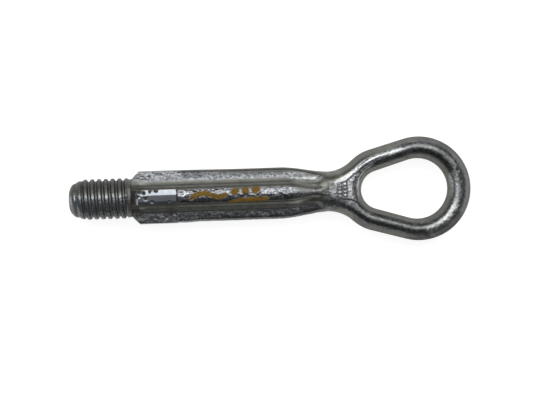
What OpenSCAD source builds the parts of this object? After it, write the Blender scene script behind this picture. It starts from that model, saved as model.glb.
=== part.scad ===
// Screw-in tow eye: a drop forging with a turned and threaded end.
// It lies with the plane of its eye level. X runs from the thread to the eye, and Z is up.
// The origin is under the middle of the piece, on the surface that it lies on.

/* [Overall] */
// Length from the tip of the thread to the far end of the eye
overall_len = 176.6; // [168:0.2:190]

/* [Threaded end] */
// Major diameter of the thread
thread_d = 18; // [16:0.5:20]
// Distance from one thread ridge to the next
thread_pitch = 3; // [2:0.5:4]
// Radial depth of the thread groove
thread_depth = 1.1; // [0.8:0.1:1.6]
// Width of the flat crest of a thread ridge
crest_w = 1.1; // [0.5:0.1:1.3]
// Length of the threaded end, from its tip to the shoulder cone
thread_end_len = 27.6; // [24:0.2:34]
// Distance from the tip to the first groove, behind the tapered lead-in
lead_len = 8; // [6:0.5:11]
// Amount that the lead-in takes off the radius
lead_drop = 0.9; // [0.6:0.1:1.5]
// Radius of the rounding round the tip
tip_round_r = 5; // [2:0.1:6]
// Diameter of the plain neck between the thread and the shoulder cone
undercut_d = 16.9; // [15:0.1:17.5]
// Least length of that plain neck
undercut_len = 1.5; // [1:0.1:3]

/* [Turned guide] */
// Diameter of the guide, turned on the tips of the four ribs
guide_d = 23.5; // [22:0.1:26]
// Distance from the tip of the thread to the far end of the guide
guide_end_x = 48; // [42:0.5:60]
// Width of the chamfer at the far end of the guide
guide_chamfer = 0.4; // [0.2:0.1:1]

/* [Ribbed shank] */
// Diameter across the as-forged ribs
shank_d = 22.7; // [20:0.1:23.3]
// Thickness of a rib at its tip
rib_w = 6.2; // [5:0.1:8]
// Amount that each side of a rib spreads by on its way to the root
rib_draft = 0.6; // [0.2:0.1:1]
// Radius of the rounded edges of a rib
rib_edge_r = 1.4; // [0.6:0.1:2]
// Height of the crown in the middle of a rib's tip
rib_crown = 0.3; // [0.1:0.1:0.6]
// Radius of the valley between two ribs
valley_r = 2.9; // [2:0.1:3.5]
// Length of the taper, from the full shank to the narrowest place
taper_len = 19.1354; // [14:0.0001:24]
// Length of the ribs beyond the start of the taper, before they begin to run out
ribs_past_taper = 8.7; // [2:0.1:12]
// Length over which the ribs run out and the valleys fill up
run_out_len = 15; // [12:0.5:18]

/* [Neck] */
// Diameter of the narrowest place, between the shank and the eye
neck_d = 17.6; // [15:0.1:20]
// Radius of the hollow that leads from the neck into the eye
neck_fillet_r = 15.8; // [10:0.2:20]
// Squareness of the neck's section, where 2 is an ellipse
neck_squareness = 2.6; // [2:0.1:4]

/* [Eye] */
// Radius of the wide end of the hole
hole_big_r = 13.25; // [11:0.05:15]
// Radius of the narrow end of the hole
hole_small_r = 8.6; // [7:0.1:10]
// Distance between the centres of the two ends of the hole
hole_stretch = 16; // [12:0.5:20]
// Width of the rim round the hole
rim_w = 9.7; // [8:0.1:12]
// Extra width of the rim at the far end
rim_end_extra = 0.6; // [0:0.1:1.5]
// Thickness of the rim
rim_t = 11.2; // [9:0.1:14]
// Radius of the rounded edges of the rim
rim_edge_r = 3; // [2:0.1:3.4]
// Amount that each side of the rim leans in from its parting line
rim_draft = 1.4; // [0.4:0.1:1.8]

/* [Hidden] */
$fn = 48;

steel = [0.50, 0.50, 0.48];
arc_steps = 4;

thread_r = thread_d / 2;
guide_r = guide_d / 2;
shank_r = shank_d / 2;
neck_r = neck_d / 2;
undercut_r = undercut_d / 2;
rim_half_t = rim_t / 2;

// The 60 degree thread: what a crest leaves of the pitch goes to two flanks and a root.
flank_angle = 30;
flank_w = thread_depth * tan(flank_angle);
thread_turns = floor((thread_end_len - undercut_len - lead_len) / thread_pitch);
thread_end_x = lead_len + thread_turns * thread_pitch;

// Centres of the two ends of the eye, and the lean of the straight sides between them
big_x = overall_len - rim_end_extra - rim_w - hole_big_r;
small_x = big_x - hole_stretch;
side_lean = asin((hole_big_r - hole_small_r) / hole_stretch);

// The neck's hollow touches the outside of the eye's narrow end.
eye_outer_r = hole_small_r + rim_w;
neck_x = small_x - sqrt(pow(eye_outer_r + neck_fillet_r, 2) - pow(neck_r + neck_fillet_r, 2));
touch_share = neck_fillet_r / (neck_fillet_r + eye_outer_r);
touch_x = neck_x + (small_x - neck_x) * touch_share;
taper_x = neck_x - taper_len;

// The neck ends inside the rim, a little below its face.
sunk = 0.3;
neck_end_x = small_x - hole_small_r - rim_w / 4;
taper_rings = 8;
hollow_rings = 9;
bend_step = 6;

function mix(a, b, t) = a + (b - a) * t;
function clamped(t) = max(0, min(1, t));
function eased(t) = pow(clamped(t), 2) * (3 - 2 * clamped(t));
function arc(centre, r, from, to) =
    [for (i = [0 : arc_steps]) centre + r * [cos(mix(from, to, i / arc_steps)), sin(mix(from, to, i / arc_steps))]];
function turned(points, angle) =
    [for (p = points) [p[0] * cos(angle) - p[1] * sin(angle), p[0] * sin(angle) + p[1] * cos(angle)]];

// One quarter of the ribbed section, from the tip of one rib round the valley to the next rib.
// reach_a and reach_b are the distances from the axis to the tips of the two ribs.
function rib_quarter(reach_a, reach_b, edge_r) =
    let (
        tip = rib_w / 2,
        root = tip + rib_draft,
        shoulder = edge_r + rib_crown,
        r = min(valley_r, min(reach_a, reach_b) - shoulder - root),
        valley = [root + r, root + r]
    )
    concat(
        [[reach_a, 0], [reach_a - rib_crown / 3, tip / 3]],
        arc([reach_a - shoulder, tip - edge_r], edge_r, 0, 90),
        arc(valley, r, 3 * 90, 2 * 90),
        arc([tip - edge_r, reach_b - shoulder], edge_r, 0, 90),
        [[tip / 3, reach_b - rib_crown / 3]]
    );

// The whole section, with ribs of two lengths: side ribs in the plane of the eye, face ribs across it.
function rib_section(side_reach, face_reach, edge_r) = concat(
    rib_quarter(side_reach, face_reach, edge_r),
    turned(rib_quarter(face_reach, side_reach, edge_r), 90),
    turned(rib_quarter(side_reach, face_reach, edge_r), 2 * 90),
    turned(rib_quarter(face_reach, side_reach, edge_r), 3 * 90)
);

// Half the width and half the thickness of the forging at a distance from the thread's tip
function hollow_half_width(x) = neck_r + neck_fillet_r - sqrt(pow(neck_fillet_r, 2) - pow(x - neck_x, 2));
function half_width(x) =
    x < neck_x ? mix(shank_r, neck_r, clamped((x - taper_x) / (neck_x - taper_x))) :
    hollow_half_width(min(x, touch_x));
function half_thickness(x) = mix(shank_r, rim_half_t - sunk, eased((x - taper_x) / (neck_end_x - taper_x)));

// Radius of the neck's rounded section in the direction of a point
function rounded_radius(p, side_reach, face_reach) =
    let (a = abs(p[0]) / norm(p) / side_reach, b = abs(p[1]) / norm(p) / face_reach)
    pow(pow(a, neck_squareness) + pow(b, neck_squareness), -1 / neck_squareness);

// The section where the ribs run out: ribbed at the shank, and rounded where the eye begins
function neck_section(x) =
    let (
        side_reach = half_width(x),
        face_reach = half_thickness(x),
        filled = eased((x - taper_x - ribs_past_taper) / run_out_len)
    )
    [for (p = rib_section(side_reach, face_reach, rib_edge_r))
        p * mix(1, rounded_radius(p, side_reach, face_reach) / norm(p), filled)];

// Faces of a skin over a row of sections that all have the same number of points
function skin_walls(count, gaps, total) = [
    for (s = [0 : gaps - 1])
        for (i = [0 : count - 1])
            let (
                a = s * count + i,
                b = s * count + (i + 1) % count,
                c = (s + 1) % total * count + i,
                d = (s + 1) % total * count + (i + 1) % count
            )
            each [[a, c, d], [a, d, b]]
];

// Skins sections that stand along X, and closes each end from the axis.
module skin(stations, sections) {
    count = len(sections[0]);
    last = len(sections) - 1;
    start_hub = count * (last + 1);
    end_hub = start_hub + 1;
    points = concat(
        [for (s = [0 : last]) for (p = sections[s]) [stations[s], p[0], p[1]]],
        [[stations[0], 0, 0], [stations[last], 0, 0]]
    );
    ends = [
        for (i = [0 : count - 1])
            let (next = (i + 1) % count)
            each [[start_hub, i, next], [end_hub, last * count + next, last * count + i]]
    ];
    polyhedron(points, concat(skin_walls(count, last, last + 1), ends));
}

// Turns a profile drawn as [radius, distance along X] round the axis of the shank.
module turn() {
    rotate([0, 90, 0])
        rotate_extrude()
            children();
}

// One groove of the thread. The grooves stand side by side at the pitch.
function thread_groove(x) = [
    [thread_r, x - flank_w],
    [thread_r - thread_depth, x],
    [thread_r - thread_depth, x + thread_pitch - crest_w - 2 * flank_w],
    [thread_r, x + thread_pitch - crest_w - flank_w]
];

// The turned end: domed tip, tapered lead-in, thread and plain neck
module threaded_end() {
    tip_r = thread_r - lead_drop;
    dome = arc([tip_r - tip_round_r, tip_round_r], tip_round_r, -90, 0);
    grooves = [for (i = [0 : thread_turns - 1]) each thread_groove(lead_len + flank_w + i * thread_pitch)];
    turn()
        polygon(concat(
            [[0, 0]],
            dome,
            [[thread_r, lead_len - crest_w]],
            grooves,
            [
                [thread_r, thread_end_x],
                [undercut_r, thread_end_x + (thread_r - undercut_r) * tan(flank_angle)],
                [undercut_r, thread_end_len],
                [0, thread_end_len]
            ]
        ));
}

// The space inside the lathe's cuts: a 45 degree cone and the guide
module guide_envelope() {
    cone_end_x = thread_end_len + guide_r - undercut_r;
    turn()
        polygon([
            [0, thread_end_len],
            [undercut_r, thread_end_len],
            [guide_r, cone_end_x],
            [guide_r, guide_end_x - guide_chamfer],
            [guide_r - guide_chamfer, guide_end_x],
            [0, guide_end_x]
        ]);
}

// Stands a section on end so that it runs along X.
module along_x(from, to) {
    translate([from, 0, 0])
        rotate([90, 0, 90])
            linear_extrude(to - from)
                children();
}

// Ribs that the lathe has cut back to the guide's diameter, with sharp edges
module guide_ribs() {
    blank_r = guide_r + rib_edge_r;
    intersection() {
        along_x(thread_end_len, guide_end_x)
            polygon(rib_section(blank_r, blank_r, rib_edge_r / 4));
        guide_envelope();
    }
}

// Ribs as they come from the dies
module forged_ribs() {
    along_x(guide_end_x, taper_x)
        polygon(rib_section(shank_r, shank_r, rib_edge_r));
}

// The ribs run out, and the shank narrows and then spreads into the eye.
module neck() {
    stations = concat(
        [for (i = [0 : taper_rings - 1]) mix(taper_x, neck_x, i / taper_rings)],
        [for (i = [0 : hollow_rings]) mix(neck_x, neck_end_x, i / hollow_rings)]
    );
    skin(stations, [for (x = stations) neck_section(x)]);
}

// How far the rim's side has leaned in at each height, from its lower face to its upper face
rim_side = let (
        flat_z = rim_half_t - rim_edge_r,
        corner = arc([rim_draft + rim_edge_r, flat_z], rim_edge_r, 2 * 90, 90)
    )
    concat(
        [for (i = [arc_steps : -1 : 0]) [corner[i][0], -corner[i][1]]],
        [[0, 0]],
        corner
    );

// Section of a rim of width w, as [distance out from the hole's edge, height]
function rim_section(w) = concat(
    rim_side,
    [for (i = [len(rim_side) - 1 : -1 : 0]) [w - rim_side[i][0], rim_side[i][1]]]
);

// Places round one end of the hole, as [X of the end's centre, radius of the hole, direction from the centre]
function bend_places(x, r, from, to) =
    let (steps = ceil((to - from) / bend_step))
    [for (i = [0 : steps]) [x, r, mix(from, to, i / steps)]];

// The drop-shaped rim of the eye: its section, swept round the wide end and then round the narrow end
module rim() {
    side = 90 + side_lean;
    places = concat(
        bend_places(big_x, hole_big_r, -side, side),
        bend_places(small_x, hole_small_r, side, 4 * 90 - side)
    );
    points = [
        for (p = places)
            for (q = rim_section(rim_w + rim_end_extra * pow(max(0, cos(p[2])), 2)))
                let (reach = p[1] + q[0])
                [p[0] + reach * cos(p[2]), reach * sin(p[2]), q[1]]
    ];
    polyhedron(points, skin_walls(2 * len(rim_side), len(places), len(places)));
}

module tow_eye() {
    color(steel)
        translate([-overall_len / 2, 0, guide_r]) {
            threaded_end();
            guide_ribs();
            forged_ribs();
            neck();
            rim();
        }
}

tow_eye();
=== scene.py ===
import math

import bmesh
import bpy
import numpy as np
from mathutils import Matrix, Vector


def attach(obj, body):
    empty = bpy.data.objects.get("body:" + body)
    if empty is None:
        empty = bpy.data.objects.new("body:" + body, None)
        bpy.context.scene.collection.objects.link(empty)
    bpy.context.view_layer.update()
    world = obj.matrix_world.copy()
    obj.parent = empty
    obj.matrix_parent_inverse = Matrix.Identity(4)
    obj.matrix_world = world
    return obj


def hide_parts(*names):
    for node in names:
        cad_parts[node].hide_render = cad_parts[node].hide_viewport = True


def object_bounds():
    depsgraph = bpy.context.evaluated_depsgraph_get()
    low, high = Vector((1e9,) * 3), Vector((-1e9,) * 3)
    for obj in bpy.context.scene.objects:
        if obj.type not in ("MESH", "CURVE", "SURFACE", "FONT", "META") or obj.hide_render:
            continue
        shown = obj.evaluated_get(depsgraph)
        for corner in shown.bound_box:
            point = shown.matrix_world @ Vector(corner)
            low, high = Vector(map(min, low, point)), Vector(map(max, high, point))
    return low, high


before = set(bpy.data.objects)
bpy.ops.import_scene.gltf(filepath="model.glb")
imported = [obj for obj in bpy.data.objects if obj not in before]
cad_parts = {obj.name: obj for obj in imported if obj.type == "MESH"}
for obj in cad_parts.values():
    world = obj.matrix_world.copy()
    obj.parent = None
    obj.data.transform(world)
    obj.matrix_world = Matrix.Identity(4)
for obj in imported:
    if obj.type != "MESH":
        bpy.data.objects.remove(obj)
cad_low, cad_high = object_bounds()

# Sizes in millimetres: X runs from the tip of the thread, and the shank's axis is at Y 0 and Z 0
MM = 0.001
OVERALL_LEN = 176.6
AXIS_HEIGHT = 11.75
TO_FRAME = np.array([-OVERALL_LEN / 2, 0, AXIS_HEIGHT])

# Thread
PITCH = 3.0
THREAD_DEPTH = 1.0
CREST_ROUNDING = 0.14
FIRST_CREST = 7.35
THREAD_END = 27.6
UNDERCUT_R = 8.45
THREAD_ROUND = 200

# Radius of the turned end without its thread, over the distance from its tip
NOSE_X = [0, 0.12, 0.3, 0.55, 0.85, 1.2, 1.6, 2.0, 2.8, 3.6, 4.5, 5.4, 6.3, 7.1]
NOSE_R = [2.4, 3.4, 4.3, 5.05, 5.7, 6.25, 6.75, 7.12, 7.58, 7.92, 8.22, 8.48, 8.75, 9.0]

# Guide, shank and the ribs that they share
GUIDE_R = 11.75
GUIDE_END = 48.0
GUIDE_CHAMFER = 0.4
GUIDE_EDGE_R = 0.3
SHANK_R = 11.35
RIB_HALF = 3.1
RIB_DRAFT = 0.6
VALLEY_R = 3.5
VALLEY_FLOOR = 7.0
SHANK_EDGE_R = 1.6

# Rounding of the ribbed outline that the angles of all sections are taken from
ANGLE_EDGE_R = 1.2

# Taper and neck, where the valleys fill up
TAPER_X = 94.3
NECK_X = 113.44
NECK_R = 8.8
NECK_SQUARENESS = 2.15
NARROW_X = 95
NARROW_LEN = 19
FILL_X = 107.6
FILLED_X = 113.4
HOLLOW_R = 15.8
TOUCH_X = 124.4
SETTLED_X = 126.5

# Hole and outer edge of the eye, each drawn round a small and a big circle
BIG_X = 153.05
BIG_R = 13.25
SMALL_X = 137.05
SMALL_R = 8.6
OUTER_SMALL_X = 137.3
OUTER_SMALL_R = 18.4
OUTER_BIG_X = 153.75
OUTER_BIG_R = 22.85
RIM_HALF_T = 5.6
LEAN = math.asin((BIG_R - SMALL_R) / (BIG_X - SMALL_X))
OUTER_LEAN = math.asin((OUTER_BIG_R - OUTER_SMALL_R) / (OUTER_BIG_X - OUTER_SMALL_X))
TOUCH = math.acos((TOUCH_X - OUTER_SMALL_X) / OUTER_SMALL_R)
CORNER_ANGLE = math.radians(155)

# Height of the rim's side over the distance in from its edge: a leaning wall, then a rounding
RIM_IN = [0, 1.5, 1.9, 2.6, 3.4, 4.2, 4.9]
RIM_UP = [0, 2.9, 3.75, 4.6, 5.2, 5.52, 5.6]

# Fineness of the forging's mesh
OCTANT_STEPS = 28
RAY_STEPS = 82

# A point above this height is on the upper rib
UPPER_RIB_Z = 6.0

# Pits in the front of the guide, as X, Y and radius
PITS = [
    (33.6, 1.9, 0.75), (34.3, -0.6, 0.8), (30.9, 0.4, 0.5), (37.1, -2.1, 0.45), (36.2, 2.5, 0.7),
    (31.6, 2.6, 0.8), (38.8, 2.8, 0.8), (44.5, -2.2, 0.25),
]

# Painted marks on the upper rib, as X, Y points
WAVE = [(54.0, -1.0), (57.0, 0.7), (60.0, 1.1), (63.0, 0.1), (66.0, -0.9), (69.0, 0.0)]
DABS = ([(72.7, 1.2), (73.5, 1.6)], [(77.3, 1.4), (78.1, 1.8)], [(81.9, 1.6), (82.7, 2.0)])
LONG_BAR = [(71.0, -3.6), (76.0, -2.6), (86.5, -2.2)]
STROKE_W = 2.2
DAB_W = 2.7

# Raised dots on the neck
DOT_COLUMNS = (118.9, 121.2)
DOT_ROWS = (-2.2, -0.6, 1.0, 2.6)
DOT_R = 0.72

# How far the pits, the dots, their field and the paint stand out of the skin
PIT_RELIEF = -0.45
DOT_RELIEF = 0.28
FIELD_RELIEF = -0.1
PAINT_RELIEF = 0.03

# Edges of the forging that turn by more than this are shaded as sharp
SHARP_ANGLE = math.radians(40)

# Lines along the upper arm and round the far end of the eye, as X, Y points, which carry painted
# highlights; the arm's line and the inner line also raise thin ridges, and the arm's line widens the
# rough crown
ARM_LINE = [
    (118.5, 3.6), (121.5, 4.9), (127.1, 9.2), (129.6, 11.1),
    (132.3, 13.0), (135.0, 14.3), (138.0, 15.2), (145.7, 18.0),
]
INNER_LINE = [(126.2, 1.5), (127.2, 6.0), (130.0, 9.4), (133.5, 11.4)]
END_LINE = [
    (168.6, 5.5), (169.5, 0.0), (169.2, -5.5), (168.4, -9.6),
    (166.2, -12.9), (163.8, -15.3), (160.6, -16.9), (157.6, -18.0),
]

# The painted light and shade, with the plating's own unevenness, is stored as a share of this, so
# that the plating can be painted up to three times as bright
LIGHT_AND_TONE_RANGE = 3.0

# Painted light and shade: brighter and darker places of the plating, as first and last X, low and
# high Y and factor
PAINTED_LIGHT_AND_SHADE_BANDS = [
    (33, 97, 3.0, 4.4, 1.55), (33, 97, 5.7, 6.5, 0.58), (50, 97, 8.3, 9.9, 0.62),
    (50, 97, -3.6, -2.4, 0.55), (33, 97, -5.0, -4.3, 0.38), (99, 110, 4.3, 5.6, 1.8),
    (99, 110, 6.7, 8.2, 0.68), (99, 110, -6.2, -3.0, 1.5), (114, 120, 6.0, 9.2, 1.6),
    (49, 58, 9.6, 11.4, 0.58), (107, 112, 5.2, 6.6, 1.8), (111, 115, -3.9, -2.0, 2.0),
    (114, 118, 0.8, 3.6, 0.62), (49, 53, -1.2, 1.5, 1.7), (122.5, 125, 0.0, 2.2, 1.6),
    (122.5, 126, -5.2, -3.2, 1.7), (117, 120, -3.9, -2.4, 1.8), (162, 168, 12.8, 19.5, 0.62),
    (143, 151, 15.6, 17.8, 1.7), (144, 151, 13.2, 14.6, 0.68), (162, 168, -20.0, -16.6, 0.6),
    (169.8, 172, -11.0, -7.5, 1.7),
]
BAND_SOFT_X = 3.0
BAND_SOFT_Y = 0.5

# Scales of the plating's noise and the height of its fine bumps, per metre and in metres
GRAIN_SCALE = 950
FINE_SCALE = 3800
CLOUD_SCALE = 260
BUMP_SCALE = 820
BUMP_HEIGHT = 0.0004

# Floor, lights and camera, in metres and watts
FLOOR_HALF = 3.0
FLOOR_GREY = (0.28, 0.28, 0.28, 1)
FLOOR_GLOW = 0.9
ROOM_COLOUR = (0.88, 0.94, 1, 1)
ROOM_STRENGTH = 0.11
KEY_PLACE = (0.0, 0.50, 0.95)
KEY_SIZE = (1.8, 0.82)
KEY_POWER = 14.2
FILL_PLACE = (0.0, -0.14, 1.3)
FILL_SIZE = (1.8, 0.55)
FILL_POWER = 0.85
CAMERA_PLACE = (-0.0016, -0.00285, 0.802)
CAMERA_TURN = math.radians(-1.97)
SENSOR_MM = 36
LENS_MM = 121.3


def eased(t):
    """Smooth step from 0 to 1"""
    t = np.clip(t, 0, 1)
    return t * t * (3 - 2 * t)


def eased_line(t):
    """A straight ramp whose two ends are a little rounded"""
    t = np.clip(t, 0, 1)
    return t - 0.06 * np.sin(2 * math.pi * t)


def band(value, low, high, soft):
    """1 between low and high, and 0 outside, with soft ends"""
    return eased((value - low) / soft + 0.5) * eased((high - value) / soft + 0.5)


def soft_min(a, b, soft):
    """The smaller of two values, rounded where they meet"""
    return (a + b - np.sqrt((a - b) ** 2 + soft * soft)) / 2


def lattice(points, cell, seed):
    """Smooth seeded noise from -1 to 1 at points in millimetres, with bumps about one cell wide"""
    rng = np.random.default_rng(seed)
    size = 64
    table = rng.uniform(-1, 1, (size, size, size))
    scaled = points / cell + 1000.0
    base = np.floor(scaled).astype(int)
    part = scaled - base
    part = part * part * (3 - 2 * part)
    total = np.zeros(len(points))
    for corner in np.ndindex(2, 2, 2):
        weight = np.prod(np.abs(1 - np.array(corner) - part), axis=1)
        i, j, k = ((base + corner) % size).T
        total += weight * table[i, j, k]
    return total


def path_distance(x, y, path):
    """Distance from a path of X, Y points"""
    path = np.asarray(path, float)
    best = np.full(len(x), 1e9)
    for a, b in zip(path[:-1], path[1:]):
        d = b - a
        t = np.clip(((x - a[0]) * d[0] + (y - a[1]) * d[1]) / (d @ d), 0, 1)
        best = np.minimum(best, np.hypot(x - a[0] - t * d[0], y - a[1] - t * d[1]))
    return best


def arc(cx, cy, r, start, end, steps=10):
    """Points of an arc between two angles in degrees"""
    angles = np.radians(np.linspace(start, end, steps + 1))
    return np.column_stack([cx + r * np.cos(angles), cy + r * np.sin(angles)])


def on_circle(x, r, angle):
    """The point at an angle of a circle whose middle is on the axis"""
    return [x + r * math.cos(angle), r * math.sin(angle)]


def ring(x, radius, turn):
    """Points round the axis at a distance from the thread's tip"""
    return np.column_stack([np.full(len(turn), x), radius * np.cos(turn), radius * np.sin(turn)])


def rib_eighth(reach, edge_r):
    """From the middle of a rib's tip to the middle of the valley"""
    root = RIB_HALF + RIB_DRAFT
    return np.vstack([
        [[reach, 0]],
        arc(reach - edge_r, RIB_HALF - edge_r, edge_r, 0, 90),
        arc(root + VALLEY_R, root + VALLEY_R, VALLEY_R, 270, 225),
    ])


def polar(points):
    """Angle and radius of a finely divided outline"""
    spacing = 0.05
    fine = [points[:1]]
    for a, b in zip(points[:-1], points[1:]):
        count = max(1, int(np.linalg.norm(b - a) / spacing))
        fine.append(a + (b - a) * np.linspace(0, 1, count + 1)[1:, None])
    fine = np.vstack(fine)
    return np.arctan2(fine[:, 1], fine[:, 0]), np.hypot(fine[:, 0], fine[:, 1])


def section_angles():
    """Angles of the points round a section, close together at the edges of the ribs"""
    angle, radius = polar(rib_eighth(SHANK_R, ANGLE_EDGE_R))
    step = np.hypot(np.diff(radius), radius[1:] * np.diff(angle))
    along = np.concatenate([[0], np.cumsum(step)])
    eighth = np.interp(np.linspace(0, along[-1], OCTANT_STEPS + 1), along, angle)
    edge = math.asin((RIB_HALF + 0.06) / GUIDE_R)
    eighth[np.argmin(np.abs(eighth - edge))] = edge
    eighth[-1] = math.pi / 4
    quarter = np.concatenate([eighth, math.pi / 2 - eighth[-2:0:-1]])
    return np.concatenate([quarter + i * math.pi / 2 for i in range(4)])


ANGLES = section_angles()
ROUND = len(ANGLES)
HALF = ROUND // 2


def rib_radius(reach, edge_r, narrow=1.0):
    """Radius of the ribbed section at each of the angles, with ribs of a share of their width"""
    angle, radius = polar(rib_eighth(reach, edge_r))
    folded = np.abs((ANGLES + math.pi / 4) % (math.pi / 2) - math.pi / 4)
    return np.interp(folded / narrow, angle, radius)


def rounded_radius(side, face):
    """Radius at each of the angles of the neck's section, which is a slightly squared ellipse"""
    a = np.abs(np.cos(ANGLES)) / side
    b = np.abs(np.sin(ANGLES)) / face
    return (a ** NECK_SQUARENESS + b ** NECK_SQUARENESS) ** (-1 / NECK_SQUARENESS)


def half_width(x):
    """Half the width of the shank and the neck, up to where the hollow touches the eye"""
    run = np.clip(x, NECK_X, TOUCH_X) - NECK_X
    hollow = NECK_R + HOLLOW_R - np.sqrt(np.maximum(HOLLOW_R ** 2 - run ** 2, 0))
    taper = SHANK_R + (NECK_R - SHANK_R) * eased_line((x - TAPER_X) / (NECK_X - TAPER_X))
    return np.where(x < NECK_X, taper, hollow)


def half_thickness(x):
    """Half the thickness of the shank, the neck and the eye"""
    return SHANK_R + (RIM_HALF_T - SHANK_R) * eased((x - TAPER_X) / (SETTLED_X - TAPER_X))


def ribs_of(side, face, edge_r, narrow):
    """Ribbed section whose side ribs and face ribs differ in reach, with crowned tips"""
    over = 0.9
    sine = np.abs(np.sin(ANGLES))
    cosine = np.abs(np.cos(ANGLES))
    towards_face = sine > cosine
    reach = np.where(towards_face, face, side)
    side_blank = rib_radius(float(np.max(side)) + over, edge_r)
    blank = np.where(towards_face, rib_radius(face + over, edge_r, narrow), side_blank)
    half = RIB_HALF * np.where(towards_face, narrow, 1.0)
    crown = reach - 0.5 * (reach * np.minimum(sine, cosine) / half) ** 2
    return soft_min(blank, np.maximum(crown, VALLEY_FLOOR), 0.25)


def guide_section(x):
    """Radius at each of the angles where the lathe has cut the tips of the ribs"""
    cone = UNDERCUT_R + max(0.0, x - THREAD_END)
    chamfer = GUIDE_CHAMFER * eased((x - GUIDE_END + GUIDE_CHAMFER) / GUIDE_CHAMFER)
    cut = min(GUIDE_R, cone, GUIDE_R - chamfer)
    return np.minimum(rib_radius(GUIDE_R + ANGLE_EDGE_R, GUIDE_EDGE_R), cut)


def shank_section(x):
    """Radius at each of the angles of the forging at a distance from the thread's tip"""
    if x <= GUIDE_END:
        return guide_section(x)
    side = float(half_width(np.array(x)))
    face = float(half_thickness(np.array(x)))
    lower = eased((57 - x) / 4)
    upper = eased((78 - x) / 30)
    side = side + (GUIDE_R - 0.1 - side) * np.where(np.cos(ANGLES) < 0, lower, upper)
    filled = float(eased((x - FILL_X) / (FILLED_X - FILL_X)))
    narrow = 1 - 0.6 * float(eased((x - NARROW_X) / NARROW_LEN))
    ribbed = ribs_of(side, face, SHANK_EDGE_R, narrow)
    return ribbed * (1 - filled) + rounded_radius(np.max(side), face) * filled


def shank_stations():
    """Distances of the shank's sections, close together where the form changes fast"""
    return np.concatenate([
        np.linspace(THREAD_END, THREAD_END + 3.3, 9),
        np.linspace(THREAD_END + 3.6, GUIDE_END - 0.5, 36),
        [GUIDE_END - 0.3, GUIDE_END - 0.12, GUIDE_END],
        np.linspace(GUIDE_END + 0.05, TAPER_X, 76),
        np.linspace(TAPER_X + 0.6, 106.5, 20),
        np.linspace(106.9, NECK_X, 24),
    ])


def drop_distance(x, y):
    """Distance from the edge of the drop-shaped hole, positive outside it"""
    y = np.abs(y)
    along = x - SMALL_X
    reach = BIG_X - SMALL_X
    slope = (BIG_R - SMALL_R) / reach
    lift = math.sqrt(1 - slope * slope)
    k = along * lift + y * slope
    from_small = np.hypot(along, y) - SMALL_R
    from_big = np.hypot(along - reach, y) - BIG_R
    from_side = -along * slope + y * lift - SMALL_R
    return np.where(k < 0, from_small, np.where(k > reach * lift, from_big, from_side))


def silhouette():
    """Outer edge of the neck and the eye on the side of positive Y"""
    neck = [[x, float(half_width(np.array(x)))] for x in np.arange(96, TOUCH_X, 0.25)]
    turn = math.pi / 2 + OUTER_LEAN
    small = [on_circle(OUTER_SMALL_X, OUTER_SMALL_R, a) for a in np.linspace(TOUCH, turn, 40)]
    big = [on_circle(OUTER_BIG_X, OUTER_BIG_R, a) for a in np.linspace(turn, 0, 160)]
    start = np.array(small[-1])
    end = np.array(big[0])
    side = [start * (1 - t) + end * t for t in np.linspace(0.02, 0.98, 60)]
    return np.vstack([neck, small, side, big])


EDGE = silhouette()


def edge_distance(x, y):
    """Distance in from the outer edge of the neck and the eye"""
    return path_distance(x, np.abs(y), EDGE)


def rim_rise(distance):
    """Share of the rim's height at a distance in from its edge"""
    fine = np.linspace(0, RIM_IN[-1], 99)
    rise = np.interp(fine, RIM_IN, RIM_UP) / RIM_HALF_T
    padded = np.pad(rise, 5, mode="reflect", reflect_type="odd")
    smooth = np.convolve(padded, np.ones(11) / 11, "valid")
    smooth[0] = 0
    return np.interp(distance, fine, np.clip(smooth, 0, 1), right=1)


def neck_rise(distance, width):
    """Share of the neck's height at a distance in from its edge"""
    q = np.clip(1 - distance / width, 0, 1)
    return (1 - q ** NECK_SQUARENESS) ** (1 / NECK_SQUARENESS)


def eye_height(x, y):
    """Height of the upper face over the neck and the eye"""
    gap = edge_distance(x, y)
    necked = 1 - eased((x - NECK_X) / 11)
    neck = neck_rise(gap, half_width(np.minimum(x, NECK_X)))
    outer = neck * necked + rim_rise(gap) * (1 - necked)
    return half_thickness(x) * rim_rise(drop_distance(x, y)) * outer


def neck_rays(last):
    """Rays from the hole's corner to each point of the upper half of the shank's last section"""
    listed = []
    for j in range(HALF + 1):
        a = CORNER_ANGLE + (2 * math.pi - 2 * CORNER_ANGLE) * j / HALF
        listed.append((on_circle(SMALL_X, SMALL_R, a), [NECK_X, last[j, 1]], j))
    return listed


def hollow_rays():
    """Rays that end on the hollow between the neck and the eye"""
    hollow_turn = math.asin((TOUCH_X - NECK_X) / HOLLOW_R)
    listed = []
    for t in np.linspace(0, 1, 25)[1:]:
        h = hollow_turn * t
        end = [NECK_X + HOLLOW_R * math.sin(h), NECK_R + HOLLOW_R - HOLLOW_R * math.cos(h)]
        start = on_circle(SMALL_X, SMALL_R, CORNER_ANGLE + (TOUCH - CORNER_ANGLE) * t)
        listed.append((start, end))
    return listed


def eye_rays():
    """Rays round one half of the eye: its small arc, its straight side and its big arc"""
    turn = math.pi / 2 + LEAN
    outer_turn = math.pi / 2 + OUTER_LEAN
    listed = []
    for t in np.linspace(0, 1, 14)[1:]:
        start = on_circle(SMALL_X, SMALL_R, TOUCH + (turn - TOUCH) * t)
        end = on_circle(OUTER_SMALL_X, OUTER_SMALL_R, TOUCH + (outer_turn - TOUCH) * t)
        listed.append((start, end))
    side = np.array(listed[-1])
    big = np.array([on_circle(BIG_X, BIG_R, turn), on_circle(OUTER_BIG_X, OUTER_BIG_R, outer_turn)])
    for t in np.linspace(0, 1, 24)[1:-1]:
        start, end = side + (big - side) * t
        listed.append((list(start), list(end)))
    for t in np.linspace(1, 0, 66):
        end = on_circle(OUTER_BIG_X, OUTER_BIG_R, outer_turn * t)
        listed.append((on_circle(BIG_X, BIG_R, turn * t), end))
    return listed


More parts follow.
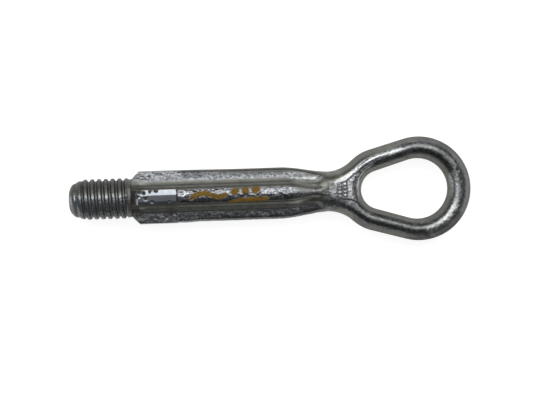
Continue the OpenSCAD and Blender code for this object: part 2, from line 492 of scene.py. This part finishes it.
def rays(last):
    """All rays: start on the hole's edge, end on the outer edge, and the shank's point there or -1"""
    half = [*hollow_rays(), *eye_rays()]
    lower = [([start[0], -start[1]], [end[0], -end[1]], -1) for start, end in half]
    upper = [(start, end, -1) for start, end in half[-2::-1]]
    return [*neck_rays(last), *lower, *upper]


def tube_faces(rows, count):
    """Faces between rows of points that each go once round"""
    faces = []
    for s in range(rows - 1):
        for i in range(count):
            a = s * count + i
            b = s * count + (i + 1) % count
            faces.append((a, b, b + count, a + count))
    return faces


def eye_grid(listed, last):
    """Points of the upper face along the rays, which meet the shank's last section"""
    t = np.linspace(0, 1, RAY_STEPS + 1)
    spread = 0.55 * t + 0.45 * (1 - np.cos(math.pi * t)) / 2
    one_sided = 0.55 * t + 0.45 * (1 - np.cos(math.pi * t / 2))
    grid = np.zeros((len(listed), RAY_STEPS + 1, 3))
    for r, (start, end, j) in enumerate(listed):
        lean = math.sqrt(abs(math.sin(ANGLES[j]))) if j >= 0 else 0
        u = spread * (1 - lean) + one_sided * lean
        grid[r, :, :2] = np.array(start) + (np.array(end) - np.array(start)) * u[:, None]
    height = eye_height(grid[:, :, 0].ravel(), grid[:, :, 1].ravel())
    grid[:, :, 2] = height.reshape(grid.shape[:2])
    for r, (_, _, j) in enumerate(listed):
        if j < 0:
            grid[r, -1, 2] = 0
            continue
        fade = eased(1 - (grid[r, :, 0] - NECK_X) / 9)
        grid[r, :, 2] += (last[j, 2] - grid[r, -1, 2]) * fade
    grid[:, 0, 2] = 0
    return grid


def eye_sides(listed, grid, base, last_row):
    """Points and faces of both faces of the eye, which share the points on their edges"""
    rows = len(listed)
    free = [r for r in range(rows) if listed[r][2] < 0]
    outer_ids = {r: base + rows + n for n, r in enumerate(free)}
    points = [grid[:, 0], grid[free, -1]]
    faces = []
    middle_base = base + rows + len(free)
    for face in (1, -1):
        points.append(grid[:, 1:-1].reshape(-1, 3) * [1, 1, face])
        ids = np.zeros((rows, RAY_STEPS + 1), int)
        ids[:, 0] = base + np.arange(rows)
        ids[:, 1:-1] = middle_base + np.arange(rows * (RAY_STEPS - 1)).reshape(rows, -1)
        for r in range(rows):
            j = listed[r][2]
            ids[r, -1] = outer_ids[r] if j < 0 else last_row + (face * j) % ROUND
        middle_base += rows * (RAY_STEPS - 1)
        for r in range(rows):
            n = (r + 1) % rows
            for c in range(RAY_STEPS):
                quad = (ids[r, c], ids[r, c + 1], ids[n, c + 1], ids[n, c])
                faces.append(quad if face == 1 else quad[::-1])
    return points, faces


def forging():
    """Points and faces of the forging, from the shoulder to the end of the eye"""
    rings = [ring(x, shank_section(x), ANGLES) for x in shank_stations()]
    hub = len(rings) * ROUND
    faces = tube_faces(len(rings), ROUND)
    faces += [(hub, (i + 1) % ROUND, i) for i in range(ROUND)]
    listed = rays(rings[-1])
    grid = eye_grid(listed, rings[-1])
    eye_points, eye_faces = eye_sides(listed, grid, hub + 1, hub - ROUND)
    points = [*rings, np.array([[THREAD_END, 0, 0]]), *eye_points]
    return np.vstack(points), faces + eye_faces


def make_mesh(name, points, faces):
    """A smooth-shaded object with its faces turned outward, from points in millimetres"""
    mesh = bpy.data.meshes.new(name)
    corners = [tuple(int(i) for i in f) for f in faces]
    mesh.from_pydata(((points + TO_FRAME) * MM).tolist(), [], corners)
    made = bmesh.new()
    made.from_mesh(mesh)
    bmesh.ops.recalc_face_normals(made, faces=made.faces)
    made.to_mesh(mesh)
    made.free()
    mesh.polygons.foreach_set("use_smooth", [True] * len(mesh.polygons))
    piece = bpy.data.objects.new(name, mesh)
    bpy.context.scene.collection.objects.link(piece)
    return piece


def places(piece):
    """Points in millimetres and normals of a mesh"""
    mesh = piece.data
    co = np.zeros(len(mesh.vertices) * 3, np.float32)
    mesh.vertices.foreach_get("co", co)
    normal = np.zeros(len(mesh.vertices) * 3, np.float32)
    mesh.vertex_normals.foreach_get("vector", normal)
    return co.reshape(-1, 3).astype(float) / MM - TO_FRAME, normal.reshape(-1, 3).astype(float)


def push(piece, points, normals, amount):
    """Moves each point along its normal by an amount in millimetres, inside the solids' box"""
    moved = (points + normals * amount[:, None] + TO_FRAME) * MM
    low = np.array(cad_low) + 1e-6
    high = np.array(cad_high) - 1e-6
    piece.data.vertices.foreach_set("co", np.clip(moved, low, high).astype(np.float32).ravel())
    piece.data.update()


def store(piece, name, values):
    """Keeps a value from 0 to 1 for each point, which the material reads"""
    layer = piece.data.attributes.new(name, "FLOAT", "POINT")
    layer.data.foreach_set("value", np.clip(values, 0, 1).astype(np.float32))


def wavy(p, seed):
    """Slow unevenness for the borders between rough and smooth, in millimetres"""
    return 0.35 * lattice(p, 2.5, seed) + 0.25 * lattice(p, 0.9, seed + 1)


def line_mask(p, path, width):
    """1 on a line of X, Y points on the upper face, with soft sides"""
    x, y, z = p.T
    return eased(1.3 - path_distance(x, y, path) / width) * (z > 1)


def arm_mask(p, width, end, fade):
    """1 on the line of the upper arm, faded over a length that stops at an end"""
    return line_mask(p, ARM_LINE, width) * eased((end - p[:, 0]) / fade)


def shank_mask(p):
    """1 on the rough crests of the ribs, less on their faces, and 0 in the smooth valleys"""
    x, y, z = p.T
    uneven = 0.4 * wavy(p, 11)
    half = 2.75 - 1.75 * eased((x - 92) / 20)
    crest = eased((half - np.abs(y) + uneven) / 0.5 + 0.5) * (np.abs(z) > 5)
    crest = crest * (1 - 0.45 * eased((x - 96) / 8))
    start = np.interp(x, [94, 101.8, 110.5], [6.8, 5.8, 4.5])
    side = eased((np.abs(y) - start + uneven) / 1.1 + 0.5)
    stop = np.where(y > 0, eased((111.4 - x) / 0.6 + 0.5), 1.0)
    bare = 1.1 * eased((x - GUIDE_END + 6) / 40)
    inside = half_width(x) - np.abs(y) - bare
    edge = np.where(y > 0, eased(inside / 1.4 + 0.5 - bare / 2.2), 1.0)
    fading = (1 - 0.45 * eased((x - 98) / 10)) * np.where(y < 0, 0.82, 1.0)
    return np.maximum(crest, 0.9 * side * stop * edge * fading)


def eye_mask(p, gap, hole):
    """1 on the rough crown of the eye and its neck, and 0 on the smooth lands along the edges"""
    x, y, z = p.T
    uneven = wavy(p, 21)
    upper_x = [113, 119, 121, 128, 132, 143, 146, 153, 160]
    upper = np.interp(x, upper_x, [4.9, 4.7, 4.3, 4.3, 3.6, 3.0, 2.2, 1.5, 0.9])
    lower_x = [113, 119, 126, 140, 150, 158, 166]
    lower = np.interp(x, lower_x, [1.2, 1.8, 1.9, 1.9, 1.8, 1.4, 1.0])
    land = np.where(y > 0, upper, lower)
    outer = eased((gap - land + 0.5 * uneven) / 0.7 + 0.5)
    inner_land = np.interp(x, [128, 135, 150, 160, 167], [1.7, 2.2, 1.9, 1.6, 1.7])
    inner = eased((hole - inner_land + 0.4 * uneven) / 0.6 + 0.5)
    crown = outer * inner * np.interp(x, [118, 126, 135, 150], [0.68, 0.65, 0.64, 0.60])
    return np.maximum(crown, 0.72 * arm_mask(p, 1.5, 149, 12))


def forged_mask(p):
    """How rough the forging's skin is, over its whole length"""
    x, y, z = p.T
    gap = np.full(len(x), 9.0)
    near = x > NECK_X - 6
    gap[near] = edge_distance(x[near], y[near])
    on_eye = eased((x - 114.2 + 0.5 * wavy(p, 31)) / 0.6 + 0.5)
    return shank_mask(p) * (1 - on_eye) + eye_mask(p, gap, drop_distance(x, y)) * on_eye


def bites(p):
    """How far the rough skin reaches in over the far edge of the turned land, in millimetres"""
    along = p * [1, 0, 0]
    ragged = 0.9 + 1.3 * lattice(along, 1.6, 41) + 0.7 * lattice(along, 0.7, 42)
    return np.maximum(0, ragged) * eased((41 - p[:, 0]) / 3)


def turned_mask(p):
    """1 where the lathe has cut the tips of the ribs"""
    x, y, z = p.T
    cut = np.minimum(GUIDE_R, UNDERCUT_R + np.maximum(0, x - THREAD_END))
    land = eased((np.hypot(y, z) - cut + 0.12) / 0.08) * (x < GUIDE_END + 0.02)
    bitten = eased((3.25 - bites(p) - y) / 0.3 + 0.5)
    shy = np.where((z > UPPER_RIB_Z) & (y > 0), bitten, 1.0)
    corner = np.hypot(np.maximum(0, np.abs(y) - 1.7), np.maximum(0, x - GUIDE_END + 1.5))
    rounded = np.where(np.abs(z) > UPPER_RIB_Z, eased((1.42 - corner) / 0.25 + 0.5), 1.0)
    start = 29.5 + 0.8 * lattice(p, 1.3, 43) + 0.3 * lattice(p, 0.6, 44)
    return land * shy * rounded * eased((x - start) / 0.3 + 0.5)


def pit_mask(p):
    """1 in the middle of each pit of the guide"""
    x, y, z = p.T
    ragged = 0.25 * lattice(p, 0.5, 51)
    total = np.zeros(len(x))
    for pit_x, pit_y, r in PITS:
        away = np.hypot(x - pit_x, y - pit_y) / r + ragged
        total = np.maximum(total, eased((1.25 - away) / 0.7))
    return total * (z > UPPER_RIB_Z)


def stroke(p, path, width):
    """1 within a painted stroke that follows a path on the upper rib and stays off its flanks"""
    x, y, z = p.T
    off_crest = 0.45 * np.maximum(0, 10.0 - z)
    away = np.hypot(path_distance(x, y, path), off_crest) + 0.12 * lattice(p, 0.8, 61)
    return eased((width / 2 - away) / 0.12 + 0.5) * (z > 4)


def paint_mask(p):
    """A plain ochre inspection mark along the upper rib: a wave, three dabs and a bar"""
    kept = 1 - 0.7 * eased((lattice(p, 0.8, 62) - 0.42) / 0.3)
    long_marks = np.maximum(stroke(p, WAVE, STROKE_W), stroke(p, LONG_BAR, STROKE_W)) * kept
    return np.maximum.reduce([long_marks, *(stroke(p, path, DAB_W) for path in DABS)])


def raised_dots(p):
    """Two rows of plain raised dots on the neck, where a forging carries its code"""
    x, y, z = p.T
    total = np.zeros(len(x))
    for column in DOT_COLUMNS:
        shift = 0.25 * (column == DOT_COLUMNS[1])
        for row in DOT_ROWS:
            away = np.hypot(x - column, y - row - shift)
            total = np.maximum(total, eased((DOT_R - away) / 0.35 + 0.5))
    return total * (z > 3)


def dot_field(p):
    """1 on the part of the neck that holds the dots"""
    x, y, z = p.T
    return band(x, 117.5, 122.5, 0.7) * band(y, -2.9, 4.0, 0.7) * (z > 3)


def pitted_line(p):
    """Pits in the far end of the eye, in a row along its outer shoulder"""
    x, y, z = p.T
    around = np.abs(np.arctan2(y, x - BIG_X) + 0.08)
    across = np.abs(np.hypot(x - OUTER_BIG_X, y) - (OUTER_BIG_R - 4.3))
    chance = eased((lattice(p, 1.1, 81) + 0.25) / 0.4)
    return 0.9 * chance * eased((1.0 - across) / 0.7) * eased((0.62 - around) / 0.1) * (z > 0)


def stains(p):
    """Brown dirt on the outer side of the eye's lower far corner, and one dark scar in it"""
    x, y, z = p.T
    around = band(np.arctan2(y, x - BIG_X), -1.75, -0.45, 0.35)
    outer = eased((np.hypot(x - OUTER_BIG_X, y) - OUTER_BIG_R + 4.6) / 2.0)
    film = 0.62 * outer * around * eased((lattice(p, 1.5, 83) + 0.9) / 0.8)
    away = np.hypot(x - 156.4, (y + 20.4) * 1.1) / 1.5 + 0.3 * lattice(p, 0.8, 84)
    scar = 0.95 * eased((1.2 - away) / 0.5)
    return np.maximum(film, scar) * (z > -2)


def dirt_and_shade_mask(p):
    """Painted shade behind the shoulder, at the step where the guide ends and in a crease; dark in
    the pits, round the dots and in a row of pits at the eye's far end; and the stains
    """
    x, y, z = p.T
    radius = np.hypot(y, z)
    # Painted shade behind the shoulder, strongest on the upper rib
    corner = eased(30.6 - x + 0.7 * lattice(p, 1.3, 71)) * (radius > 6)
    corner = corner * np.where((np.abs(y) < 3.3) & (z > UPPER_RIB_Z), 1.0, 0.25)
    # Painted shade at the step where the guide ends
    step = 0.8 * band(x, GUIDE_END - 0.05, GUIDE_END + 0.45, 0.3)
    step = step * (radius > 9) * (np.abs(y) < 3.4)
    # Painted shade in the crease of the valley on the side of negative Y
    crease = 0.92 * band(y, -7.0, -6.2, 0.5) * (z > 0) * eased((104 - x) / 6) * (x > 31)
    field = dot_field(p) * (1 - raised_dots(p)) * 0.6
    return np.maximum.reduce([corner, pit_mask(p), field, step, crease, pitted_line(p), stains(p)])


def skin_relief(p):
    """Bumps of the forged skin in millimetres, finer towards the eye and calmer on the neck"""
    x, y, z = p.T
    coarse = np.interp(x, [112, 125], [0.13, 0.06]) * np.where(np.abs(y) > 4.5, 0.7, 1.0)
    small = np.interp(x, [112, 125], [0.07, 0.035])
    bumps = coarse * lattice(p, 1.3, 1) + small * lattice(p, 0.7, 2) + 0.05 * lattice(p, 3.2, 3)
    calm = (1 - 0.8 * dot_field(p)) * (1 - 0.4 * band(x, 114.5, 127.0, 1.5))
    return (bumps - 0.09) * calm


def neck_relief(p):
    """The raised pad on the neck, which leans a little, and the raised lines beyond it"""
    x, y, z = p.T
    uneven = 0.5 * wavy(p, 95)
    places_x = [114, 119, 124, 128]
    low = np.interp(x, places_x, [-3.0, -3.2, -4.0, -6.0])
    high = np.interp(x, places_x, [2.4, 4.2, 7.6, 11.0])
    pad = band(x + uneven, 114.6, 127.0, 0.5) * band(y + uneven, low, high, 0.7)
    lines = np.maximum(0.28 * arm_mask(p, 0.9, 147, 14), 0.16 * line_mask(p, INNER_LINE, 0.6))
    return (0.22 * pad - 0.055 * y * pad + lines) * (z > 2)


def light_and_shade_factor(p):
    """Factor of the painted light and shade in the listed bands, faded where they end"""
    x, y, z = p.T
    factor = np.ones(len(x))
    for first, last, low, high, value in PAINTED_LIGHT_AND_SHADE_BANDS:
        along = band(x, first, last, BAND_SOFT_X)
        factor *= 1 + (value - 1) * along * band(y, low, high, BAND_SOFT_Y)
    return factor


def shank_light_and_tone(p):
    """Painted shade in strips along the edges of the shank, on the lower neck and on the steep sides
    of the guide, painted light on the upper neck and in the valleys, and a cloudy skin
    """
    x, y, z = p.T
    # Painted shade along the edges of the shank
    strip = eased((2.5 - half_width(x) + np.abs(y)) / 2.2)
    strip = strip * eased((x - GUIDE_END + 4) / 30) * eased((NECK_X - x) / 8)
    light_and_tone = 1 - 0.5 * strip
    # Painted light on the upper neck and painted shade on the lower neck
    light_and_tone *= 1 + 0.28 * band(x, 102.0, 114.4, 2.0) * band(y, 2.0, 9.5, 1.5) * (z > 0)
    light_and_tone *= 1 - 0.12 * band(x, 101.0, 112.5, 3.0) * band(y, -8.5, -3.0, 1.2)
    # Painted light in the valleys, stronger on the side of negative Y
    valley = eased((8.3 - np.hypot(y, z)) / 1.4) * eased((112 - x) / 8) * (x > 31)
    lower = 1.3 * eased((106 - x) / 10)
    upper = 0.45 + 0.2 * eased((x - 90) / 12)
    light_and_tone *= 1 + np.where(y < 0, lower, upper) * valley
    # Painted shade on the steep sides of the guide
    light_and_tone *= np.where((np.abs(y) > 11.0) & (x < GUIDE_END), 0.25, 1.0)
    return light_and_tone * np.where(x < NECK_X, 1 + 0.12 * lattice(p, 1.4, 97), 1.0)


def painted_highlight_mask(p):
    """1 on the painted highlights along the lines of the arm, the inner line and the far end"""
    share = np.interp(p[:, 1], [-16, -13, -9, -4.5, 0], [0.7, 0.85, 1.0, 0.6, 1.0])
    end = line_mask(p, END_LINE, 1.8) * share
    return np.maximum.reduce([arm_mask(p, 1.8, 149, 12), line_mask(p, INNER_LINE, 0.8), end])


def eye_light_and_tone(p):
    """Painted highlights along the lines and painted light on the crown of the upper arm, painted
    shade towards the outer edge, in bands beside the hole and along the lower outer side, and ripples
    of painted light and shade for the steps that a trimming die leaves round the hole
    """
    x, y, z = p.T
    gap = edge_distance(x, y)
    hole = drop_distance(x, y)
    painted_highlight = painted_highlight_mask(p)
    # Painted shade towards the outer edge, more on the side of negative Y and at the far end
    rim = eased(2.6 - gap) * (x > TOUCH_X)
    light_and_tone = 1 - 0.3 * rim * np.maximum(eased((4 - y) / 4), eased((x - 150) / 8))
    # Painted highlights along the lines, and painted light on the crown of the upper arm
    light_and_tone *= 1 + 2.0 * painted_highlight
    light_and_tone *= 1 + 0.35 * band(gap, 3.0, 6.2, 1.4) * band(x, 141.0, 166.0, 5.0) * (y > 8)
    # Painted shade in bands beside the hole and along the lower outer side, except on the highlights
    inner = band(hole, 2.0, 4.6, 1.4) * (x > 128) * (y > -8)
    inner = inner * np.interp(x, [140, 148], [0.08, 0.42])
    lower = 0.45 * band(gap, 2.6, 5.4, 1.4) * eased((-6 - y) / 3) * (x > 118)
    light_and_tone *= 1 - np.maximum(inner, lower) * (1 - painted_highlight)
    # Ripples of painted light and shade for the steps round the hole
    steps = np.sin(hole * 2 * math.pi / 0.95) * eased((2.2 - hole) / 0.5)
    return light_and_tone * (1 + 0.14 * steps * eased((x - 125) / 3))


def light_and_tone_of(p, turned):
    """How bright the plating is, painted light and shade over its own unevenness, as a share of the
    range
    """
    x, y, z = p.T
    # Painted shade on the side of positive Y
    light_and_tone = shank_light_and_tone(p) * eye_light_and_tone(p) * np.where(y > 5, 0.88, 1.0)
    light_and_tone *= 1 - 0.08 * turned * (z > UPPER_RIB_Z)
    light_and_tone *= light_and_shade_factor(p) * (1 - turned) + turned
    # Painted light on the raised pad of the neck
    high = np.interp(x, [114.0, 117.5, 119.0], [1.4, 3.4, 5.2]) + 0.6 * np.maximum(0, x - 119)
    pad = band(x, 114.5, 127.5, 1.0) * band(y, -2.8, high, 1.0) * (z > 0)
    return light_and_tone * (1 + 0.65 * pad) / LIGHT_AND_TONE_RANGE


def forging_piece():
    """The forging with its rough skin, pits, dots and paint"""
    points, faces = forging()
    piece = make_mesh("forging", points, faces)
    p, n = places(piece)
    turned = turned_mask(p)
    rough = forged_mask(p) * (1 - turned)
    pits = pit_mask(p)
    paint = paint_mask(p)
    relief = rough * skin_relief(p) + neck_relief(p) + PIT_RELIEF * pits
    relief = relief + DOT_RELIEF * raised_dots(p) + FIELD_RELIEF * dot_field(p)
    relief = relief + PAINT_RELIEF * paint
    push(piece, p, n, relief)
    store(piece, "rough", rough * (1 - pits))
    store(piece, "turned", turned * (1 - pits))
    store(piece, "dirt_and_shade", dirt_and_shade_mask(p))
    store(piece, "paint", paint)
    store(piece, "light_and_tone", light_and_tone_of(p, turned))
    piece.data.set_sharp_from_angle(angle=SHARP_ANGLE)
    return piece


def groove_share(x, turn):
    """0 on the crest of the right-hand thread and 1 in its root, and how fully it is cut"""
    turns = turn / (2 * math.pi)
    phase = ((x - FIRST_CREST) / PITCH - turns) % 1
    away = np.minimum(phase, 1 - phase) * 2
    start = 0.3 * eased(x - 0.9) + 0.7 * eased((x - 4.6 - turns) / 2.6)
    stop = 1 - eased((x - 25.3) / 0.9)
    return away, start * stop


def thread_radius(x, turn):
    """Radius round the turned end at a distance from its tip, and how deep in the groove it is"""
    away, cut = groove_share(x, turn)
    crown = CREST_ROUNDING * np.minimum(away / 0.45, 1) ** 2
    groove = crown + (1 - CREST_ROUNDING) * eased((away - 0.42) / 0.44)
    radius = np.interp(x, NOSE_X, NOSE_R) - THREAD_DEPTH * groove * cut
    after = eased((x - 25.6) / 0.9)
    radius = radius * (1 - after) + UNDERCUT_R * after
    return radius - 0.08 * eased((x - THREAD_END + 0.35) / 0.35), away * cut


def thread_mesh():
    """The turned end: domed tip, lead-in, a right-hand helix and the plain neck"""
    turn = np.linspace(0, 2 * math.pi, THREAD_ROUND, endpoint=False)
    xs = np.concatenate([NOSE_X[:8], [2.4], np.arange(2.8, THREAD_END, 0.15), [THREAD_END]])
    points = []
    share = []
    for x in xs:
        radius, groove = thread_radius(x, turn)
        points.append(ring(x, radius, turn))
        share.append(groove)
    hub = len(xs) * THREAD_ROUND
    last = hub - THREAD_ROUND
    points.append(np.array([[0, 0, 0], [THREAD_END, 0, 0]]))
    faces = tube_faces(len(xs), THREAD_ROUND)
    for i in range(THREAD_ROUND):
        n = (i + 1) % THREAD_ROUND
        faces.append((hub, n, i))
        faces.append((hub + 1, last + i, last + n))
    return make_mesh("threaded_end", np.vstack(points), faces), np.concatenate([*share, [0, 0]])


def thread_light_and_tone(p, flank, root, behind, far_side):
    """Bright crests on the middle of the thread, painted shade on its flanks and roots and towards
    its outlines, and even behind it
    """
    x, y, z = p.T
    # Painted shade on the lower side, under the tip, on the flanks and roots and on the upper side
    low_side = eased((-3 - y) / 4.5) + 0.6 * eased(1.4 - x) * eased((-1 - y) / 2)
    light_and_tone = 1.05 - 0.6 * flank - 0.15 * root + 0.25 * lattice(p, 0.9, 91)
    light_and_tone = 1.08 * light_and_tone * (1 - 0.34 * far_side) * (1 - 0.7 * np.minimum(low_side, 1))
    return light_and_tone * (1 - behind) + 0.95 * behind


def thread_piece():
    """The turned end with its unevenness, and painted shade in the flanks and roots of the thread, on
    its upper and lower sides, at its tip and behind it
    """
    piece, share = thread_mesh()
    p, n = places(piece)
    x, y, z = p.T
    uneven = 0.05 * lattice(p, 0.9, 91) + 0.045 * lattice(p, 0.45, 92)
    push(piece, p, n, (uneven - 0.08) * eased((x - 0.5) / 1.5))
    neck = band(x, 24.6, 25.9, 0.6) * eased((share + 0.1) * -4 + 1.8)
    behind = eased((x - 25.9) / 0.5)
    flank = band(share, 0.42, 0.8, 0.2)
    root = eased((share - 0.8) / 0.15)
    far_side = eased((y - 0.3) / 3)
    # Painted shade: the dark cover below goes in the flanks, the roots, behind the thread, on the tip
    # and its lower side, and on the upper side
    rim = 0.6 * band(x, -1.0, 0.9, 0.8) + 0.4 * band(x, -2.0, 4.0, 2.0) * eased((-1 - y) / 3)
    dirt_and_shade = [0.65 * flank, 0.4 * root, 0.35 * behind, rim, 0.35 * far_side]
    light_and_tone = thread_light_and_tone(p, flank, root, behind, far_side)
    store(piece, "rough", 0.25 * (1 - neck))
    # Less of the turned colour on the upper side, which paints shade there
    store(piece, "turned", 0.42 * (1 - far_side) * (1 - behind) + 0.4 * neck)
    store(piece, "dirt_and_shade", np.maximum.reduce(dirt_and_shade))
    store(piece, "paint", np.zeros(len(x)))
    store(piece, "light_and_tone", (1.25 * light_and_tone * (1 - neck) + 0.8 * neck) / LIGHT_AND_TONE_RANGE)
    return piece


def add_node(tree, kind, **values):
    """A new node with some of its own settings"""
    node = tree.nodes.new(kind)
    for key, value in values.items():
        setattr(node, key, value)
    return node


def noise_node(tree, where, scale, detail, roughness):
    """Noise over the place on the piece"""
    node = add_node(tree, "ShaderNodeTexNoise")
    node.inputs["Scale"].default_value = scale
    node.inputs["Detail"].default_value = detail
    node.inputs["Roughness"].default_value = roughness
    tree.links.new(where, node.inputs["Vector"])
    return node.outputs["Fac"]


def ramp(tree, source, stops):
    """A colour that follows a value through stops of position and colour"""
    node = add_node(tree, "ShaderNodeValToRGB")
    while len(node.color_ramp.elements) < len(stops):
        node.color_ramp.elements.new(0.5)
    for element, (position, colour) in zip(node.color_ramp.elements, stops):
        element.position = position
        element.color = (*colour, 1)
    tree.links.new(source, node.inputs["Fac"])
    return node.outputs["Color"]


def mixed(tree, factor, a, b):
    """The first colour where the factor is 0 and the second where it is 1"""
    node = add_node(tree, "ShaderNodeMix", data_type="RGBA")
    tree.links.new(factor, node.inputs["Factor"])
    tree.links.new(a, node.inputs["A"])
    tree.links.new(b, node.inputs["B"])
    return node.outputs["Result"]


def shaded(tree, colour, amount):
    """A colour times a grey amount"""
    node = add_node(tree, "ShaderNodeMix", data_type="RGBA", blend_type="MULTIPLY")
    node.inputs["Factor"].default_value = 1
    tree.links.new(colour, node.inputs["A"])
    tree.links.new(amount, node.inputs["B"])
    return node.outputs["Result"]


def ranged(tree, source, low, high, from_low=0.0, from_high=1.0):
    """A value moved from one range to another"""
    node = add_node(tree, "ShaderNodeMapRange")
    node.inputs["From Min"].default_value = from_low
    node.inputs["From Max"].default_value = from_high
    node.inputs["To Min"].default_value = low
    node.inputs["To Max"].default_value = high
    tree.links.new(source, node.inputs["Value"])
    return node.outputs["Result"]


def combined(tree, operation, a, b):
    """Two values that are added or multiplied"""
    node = add_node(tree, "ShaderNodeMath", operation=operation)
    tree.links.new(a, node.inputs[0])
    tree.links.new(b, node.inputs[1])
    return node.outputs["Value"]


def times(tree, a, b):
    return combined(tree, "MULTIPLY", a, b)


def added(tree, a, b):
    return combined(tree, "ADD", a, b)


def attribute(tree, name):
    """A value that the mesh keeps for each point"""
    return add_node(tree, "ShaderNodeAttribute", attribute_name=name).outputs["Fac"]


def steel_colour(tree, where, grain, masks):
    """Plating, rough, smooth or turned, brightened and darkened by the stored painted light and
    shade, with dirt, painted shade and paint over it
    """
    fine = noise_node(tree, where, FINE_SCALE, 3, 0.6)
    cloud = noise_node(tree, where, CLOUD_SCALE, 3, 0.5)
    forged = ramp(tree, grain, [
        (0.36, (0.085, 0.09, 0.10)), (0.53, (0.175, 0.18, 0.19)), (0.68, (0.345, 0.35, 0.36)),
    ])
    calm = ramp(tree, cloud, [(0.3, (0.108, 0.109, 0.097)), (0.7, (0.147, 0.148, 0.132))])
    lathe = ramp(tree, fine, [(0.35, (0.20, 0.216, 0.24)), (0.65, (0.30, 0.317, 0.34))])
    # Near black, for dirt and for painted shade
    dirt_and_shade_colour = ramp(tree, grain, [(0.35, (0.012, 0.011, 0.010)), (0.65, (0.05, 0.047, 0.042))])
    ochre = ramp(tree, grain, [(0.38, (0.11, 0.057, 0.0003)), (0.62, (0.185, 0.1, 0.0006))])
    colour = mixed(tree, masks["turned"], mixed(tree, masks["rough"], calm, forged), lathe)
    colour = shaded(tree, colour, ranged(tree, masks["light_and_tone"], 0.0, LIGHT_AND_TONE_RANGE))
    return mixed(tree, masks["paint"], mixed(tree, masks["dirt_and_shade"], colour, dirt_and_shade_colour), ochre)


def steel_gloss(tree, grain, masks):
    """Roughness: less on the rough crowns, least where turned, more under dirt, painted shade and
    paint
    """
    matt = ranged(tree, grain, 0.8, 1.2, from_low=0.35, from_high=0.65)
    levels = [(0.0, 0.40), (0.6, 0.395), (0.85, 0.29), (1.0, 0.21)]
    stops = [(place, (level, level, level)) for place, level in levels]
    gloss = times(tree, ramp(tree, masks["rough"], stops), matt)
    gloss = times(tree, gloss, ranged(tree, masks["turned"], 1, 0))
    gloss = added(tree, gloss, ranged(tree, masks["turned"], 0, 0.12))
    cover = added(tree, ranged(tree, masks["dirt_and_shade"], 0, 0.3), ranged(tree, masks["paint"], 0, 0.6))
    return added(tree, gloss, cover)


def steel_bump(tree, where, masks):
    """Fine bumps, strong on the rough skin and nearly none where turned"""
    bump = add_node(tree, "ShaderNodeBump")
    bump.inputs["Distance"].default_value = BUMP_HEIGHT
    rough = ranged(tree, masks["rough"], 0.1, 1.0)
    strength = times(tree, times(tree, rough, rough), ranged(tree, masks["turned"], 1.0, 0.06))
    tree.links.new(strength, bump.inputs["Strength"])
    tree.links.new(noise_node(tree, where, BUMP_SCALE, 1.5, 0.45), bump.inputs["Height"])
    return bump.outputs["Normal"]


def steel():
    """Dull zinc plating over forged steel, driven by the values that the meshes keep"""
    made = bpy.data.materials.new("plated_steel")
    made.use_nodes = True
    tree = made.node_tree
    shader = tree.nodes["Principled BSDF"]
    where = add_node(tree, "ShaderNodeTexCoord").outputs["Object"]
    masks = {name: attribute(tree, name) for name in ("rough", "turned", "dirt_and_shade", "paint", "light_and_tone")}
    grain = noise_node(tree, where, GRAIN_SCALE, 5, 0.6)
    clean = ranged(tree, masks["dirt_and_shade"], 0.95, 0.3)
    bare = times(tree, clean, ranged(tree, masks["paint"], 1.0, 0.0))
    tree.links.new(steel_colour(tree, where, grain, masks), shader.inputs["Base Color"])
    tree.links.new(bare, shader.inputs["Metallic"])
    tree.links.new(steel_gloss(tree, grain, masks), shader.inputs["Roughness"])
    tree.links.new(steel_bump(tree, where, masks), shader.inputs["Normal"])
    return made


def floor():
    """A plain pale floor"""
    mesh = bpy.data.meshes.new("floor")
    side = FLOOR_HALF
    corners = [(-side, -side, 0), (side, -side, 0), (side, side, 0), (-side, side, 0)]
    mesh.from_pydata(corners, [], [(0, 1, 2, 3)])
    piece = bpy.data.objects.new("floor", mesh)
    bpy.context.scene.collection.objects.link(piece)
    paper = bpy.data.materials.new("pale_floor")
    paper.use_nodes = True
    shader = paper.node_tree.nodes["Principled BSDF"]
    shader.inputs["Base Color"].default_value = FLOOR_GREY
    shader.inputs["Roughness"].default_value = 0.9
    shader.inputs["Emission Color"].default_value = (1, 1, 1, 1)
    shader.inputs["Emission Strength"].default_value = FLOOR_GLOW
    mesh.materials.append(paper)


def area_light(name, location, size, power):
    """A soft light that points at the middle of the floor"""
    light = bpy.data.lights.new(name, "AREA")
    light.shape = "RECTANGLE"
    light.size = size[0]
    light.size_y = size[1]
    light.energy = power
    lamp = bpy.data.objects.new(name, light)
    lamp.location = location
    lamp.rotation_euler = (-Vector(location)).to_track_quat("-Z", "Y").to_euler()
    bpy.context.scene.collection.objects.link(lamp)


def studio():
    """A large soft light behind the piece and a weak one over it, in a dim room"""
    world = bpy.data.worlds.new("studio")
    bpy.context.scene.world = world
    world.use_nodes = True
    room = world.node_tree.nodes["Background"]
    room.inputs["Color"].default_value = ROOM_COLOUR
    room.inputs["Strength"].default_value = ROOM_STRENGTH
    area_light("key", KEY_PLACE, KEY_SIZE, KEY_POWER)
    area_light("fill", FILL_PLACE, FILL_SIZE, FILL_POWER)
    bpy.context.scene.view_settings.view_transform = "Standard"


def camera():
    """The photograph's view, from straight above"""
    data = bpy.data.cameras.new("camera")
    data.sensor_width = SENSOR_MM
    data.lens = LENS_MM
    data.clip_start = 0.01
    made = bpy.data.objects.new("camera", data)
    made.location = CAMERA_PLACE
    made.rotation_euler = (0, 0, CAMERA_TURN)
    bpy.context.scene.collection.objects.link(made)
    bpy.context.scene.camera = made


def main():
    """Makes the pieces, then the floor, the lights and the camera"""
    finish = steel()
    for piece in (forging_piece(), thread_piece()):
        piece.data.materials.append(finish)
        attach(piece, "root")
        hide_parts("tow_eye")
    floor()
    studio()
    camera()


main()
